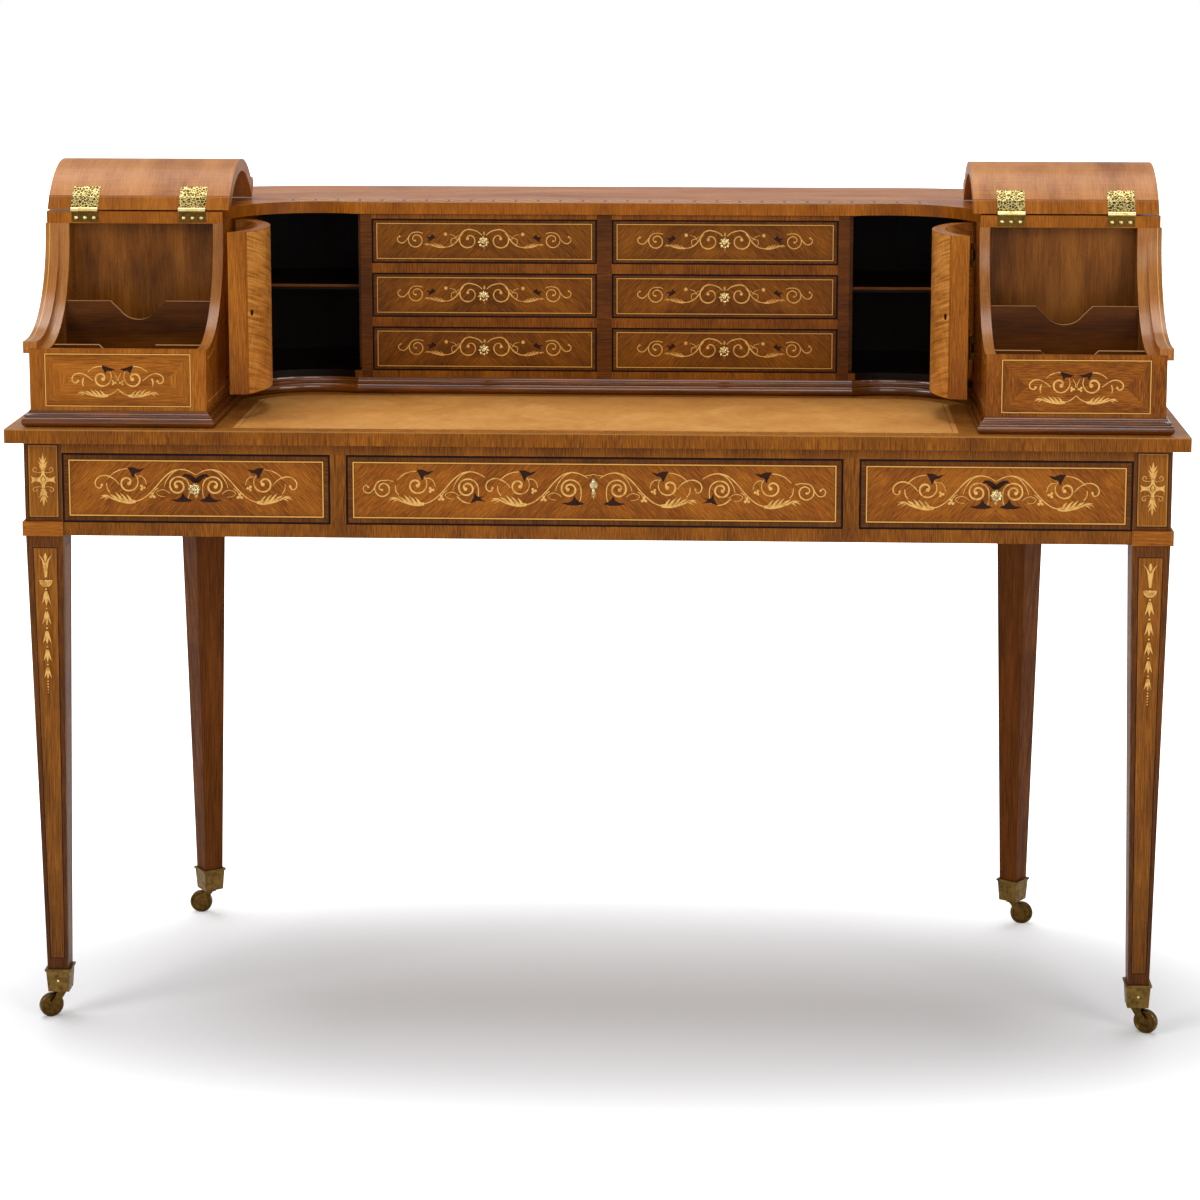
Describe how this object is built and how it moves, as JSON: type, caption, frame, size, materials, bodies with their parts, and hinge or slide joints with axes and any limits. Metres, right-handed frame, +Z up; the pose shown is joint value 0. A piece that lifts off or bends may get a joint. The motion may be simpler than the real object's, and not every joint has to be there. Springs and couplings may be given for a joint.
{
  "type": "carlton house desk",
  "caption": "D-shaped writing desk on tapered legs with casters; its stepped gallery holds drawers, curved-door cupboards and letter towers with curved lids.",
  "frame": {"origin": "centre of the base: on the floor, midway between the sides and between front and back", "axes": "+X towards the desk's right as the sitter sees it, +Y towards its rounded back, +Z up; the sitter is at -Y"},
  "size_m": [1.48, 0.58, 1.0969],
  "materials": {
    "veneer": "polished satinwood",
    "drawer_veneer": "polished satinwood with marquetry",
    "figured_veneer": "polished walnut",
    "inside_mahogany": "satin mahogany",
    "moulding_mahogany": "polished mahogany",
    "leather": "waxed",
    "brass": "aged"
  },
  "bodies": {
    "desk": {"tabletop": "veneer", "leather_inset": "leather", "frieze_frame": "veneer", "apron": "veneer", "drawer_runners": "inside_mahogany", "leg_front_left": "veneer", "leg_front_right": "veneer", "leg_back_left": "veneer", "leg_back_right": "veneer", "toe_cups": "brass", "gallery_top": "veneer", "gallery_back": "veneer", "gallery_partitions": "veneer", "gallery_dust_boards": "veneer", "gallery_floor": "inside_mahogany", "cupboard_shelves": "inside_mahogany", "base_moulding": "moulding_mahogany", "tower_case_left": "veneer", "tower_case_right": "veneer", "tower_cheeks_left": "veneer", "tower_cheeks_right": "veneer", "letter_partitions": "inside_mahogany", "fixed_hinge_leaves": "brass"},
    "frieze_drawer_left": {"frieze_drawer_left": "drawer_veneer", "frieze_knob_left": "brass"},
    "frieze_drawer_centre": {"frieze_drawer_centre": "drawer_veneer", "drawer_lock": "brass"},
    "frieze_drawer_right": {"frieze_drawer_right": "drawer_veneer", "frieze_knob_right": "brass"},
    "key": {"drawer_key": "brass"},
    "gallery_drawer_left_top": {"gallery_drawer_left_top": "drawer_veneer", "gallery_knob_left_top": "brass"},
    "gallery_drawer_left_middle": {"gallery_drawer_left_middle": "drawer_veneer", "gallery_knob_left_middle": "brass"},
    "gallery_drawer_left_bottom": {"gallery_drawer_left_bottom": "drawer_veneer", "gallery_knob_left_bottom": "brass"},
    "gallery_drawer_right_top": {"gallery_drawer_right_top": "drawer_veneer", "gallery_knob_right_top": "brass"},
    "gallery_drawer_right_middle": {"gallery_drawer_right_middle": "drawer_veneer", "gallery_knob_right_middle": "brass"},
    "gallery_drawer_right_bottom": {"gallery_drawer_right_bottom": "drawer_veneer", "gallery_knob_right_bottom": "brass"},
    "lid_left": {"lid_left": "figured_veneer", "lid_hinge_leaves_left": "brass"},
    "lid_right": {"lid_right": "figured_veneer", "lid_hinge_leaves_right": "brass"},
    "door_left": {"cupboard_door_left": "figured_veneer", "door_hinge_leaves_left": "brass", "door_knob_left": "brass"},
    "door_right": {"cupboard_door_right": "figured_veneer", "door_hinge_leaves_right": "brass", "door_knob_right": "brass"},
    "caster_front_left": {"caster_fork_front_left": "brass"},
    "wheel_front_left": {"caster_wheel_front_left": "brass"},
    "caster_front_right": {"caster_fork_front_right": "brass"},
    "wheel_front_right": {"caster_wheel_front_right": "brass"},
    "caster_back_left": {"caster_fork_back_left": "brass"},
    "wheel_back_left": {"caster_wheel_back_left": "brass"},
    "caster_back_right": {"caster_fork_back_right": "brass"},
    "wheel_back_right": {"caster_wheel_back_right": "brass"}
  },
  "joints": [
    {"name": "frieze_drawer_left_slide", "type": "slide", "parent": "desk", "child": "frieze_drawer_left", "axis": [0, -1, 0], "range_m": [0, 0.26]},
    {"name": "frieze_drawer_centre_slide", "type": "slide", "parent": "desk", "child": "frieze_drawer_centre", "axis": [0, -1, 0], "range_m": [0, 0.26]},
    {"name": "frieze_drawer_right_slide", "type": "slide", "parent": "desk", "child": "frieze_drawer_right", "axis": [0, -1, 0], "range_m": [0, 0.26]},
    {"name": "key_turn", "type": "hinge", "parent": "frieze_drawer_centre", "child": "key", "pos_m": [0, -0.26, 0.7114], "axis": [0, 1, 0], "range_deg": [0, 360]},
    {"name": "gallery_drawer_left_top_slide", "type": "slide", "parent": "desk", "child": "gallery_drawer_left_top", "axis": [0, -1, 0], "range_m": [0, 0.17]},
    {"name": "gallery_drawer_left_middle_slide", "type": "slide", "parent": "desk", "child": "gallery_drawer_left_middle", "axis": [0, -1, 0], "range_m": [0, 0.17]},
    {"name": "gallery_drawer_left_bottom_slide", "type": "slide", "parent": "desk", "child": "gallery_drawer_left_bottom", "axis": [0, -1, 0], "range_m": [0, 0.17]},
    {"name": "gallery_drawer_right_top_slide", "type": "slide", "parent": "desk", "child": "gallery_drawer_right_top", "axis": [0, -1, 0], "range_m": [0, 0.17]},
    {"name": "gallery_drawer_right_middle_slide", "type": "slide", "parent": "desk", "child": "gallery_drawer_right_middle", "axis": [0, -1, 0], "range_m": [0, 0.17]},
    {"name": "gallery_drawer_right_bottom_slide", "type": "slide", "parent": "desk", "child": "gallery_drawer_right_bottom", "axis": [0, -1, 0], "range_m": [0, 0.17]},
    {"name": "lid_left_hinge", "type": "hinge", "parent": "desk", "child": "lid_left", "pos_m": [-0.5965, -0.1158, 1.0395], "axis": [1, 0, 0], "range_deg": [0, 223]},
    {"name": "lid_right_hinge", "type": "hinge", "parent": "desk", "child": "lid_right", "pos_m": [0.5965, -0.1158, 1.0395], "axis": [1, 0, 0], "range_deg": [0, 223]},
    {"name": "door_left_hinge", "type": "hinge", "parent": "desk", "child": "door_left", "pos_m": [-0.484, -0.028, 0.915], "axis": [0, 0, 1], "range_deg": [0, 105]},
    {"name": "door_right_hinge", "type": "hinge", "parent": "desk", "child": "door_right", "pos_m": [0.484, -0.028, 0.915], "axis": [0, 0, -1], "range_deg": [0, 105]},
    {"name": "caster_front_left_swivel", "type": "hinge", "parent": "desk", "child": "caster_front_left", "pos_m": [-0.696, -0.246, 0.035], "axis": [0, 0, 1], "continuous": true},
    {"name": "wheel_front_left_spin", "type": "hinge", "parent": "caster_front_left", "child": "wheel_front_left", "pos_m": [-0.70726, -0.2525, 0.0155], "axis": [-0.5, 0.866, 0], "continuous": true},
    {"name": "caster_front_right_swivel", "type": "hinge", "parent": "desk", "child": "caster_front_right", "pos_m": [0.696, -0.246, 0.035], "axis": [0, 0, 1], "continuous": true},
    {"name": "wheel_front_right_spin", "type": "hinge", "parent": "caster_front_right", "child": "wheel_front_right", "pos_m": [0.70726, -0.2525, 0.0155], "axis": [0.5, 0.866, 0], "continuous": true},
    {"name": "caster_back_left_swivel", "type": "hinge", "parent": "desk", "child": "caster_back_left", "pos_m": [-0.57189, 0.19098, 0.035], "axis": [0, 0, 1], "continuous": true},
    {"name": "wheel_back_left_spin", "type": "hinge", "parent": "caster_back_left", "child": "wheel_back_left", "pos_m": [-0.58489, 0.19098, 0.0155], "axis": [0, 1, 0], "continuous": true},
    {"name": "caster_back_right_swivel", "type": "hinge", "parent": "desk", "child": "caster_back_right", "pos_m": [0.57189, 0.19098, 0.035], "axis": [0, 0, 1], "continuous": true},
    {"name": "wheel_back_right_spin", "type": "hinge", "parent": "caster_back_right", "child": "wheel_back_right", "pos_m": [0.58489, 0.19098, 0.0155], "axis": [0, 1, 0], "continuous": true}
  ]
}
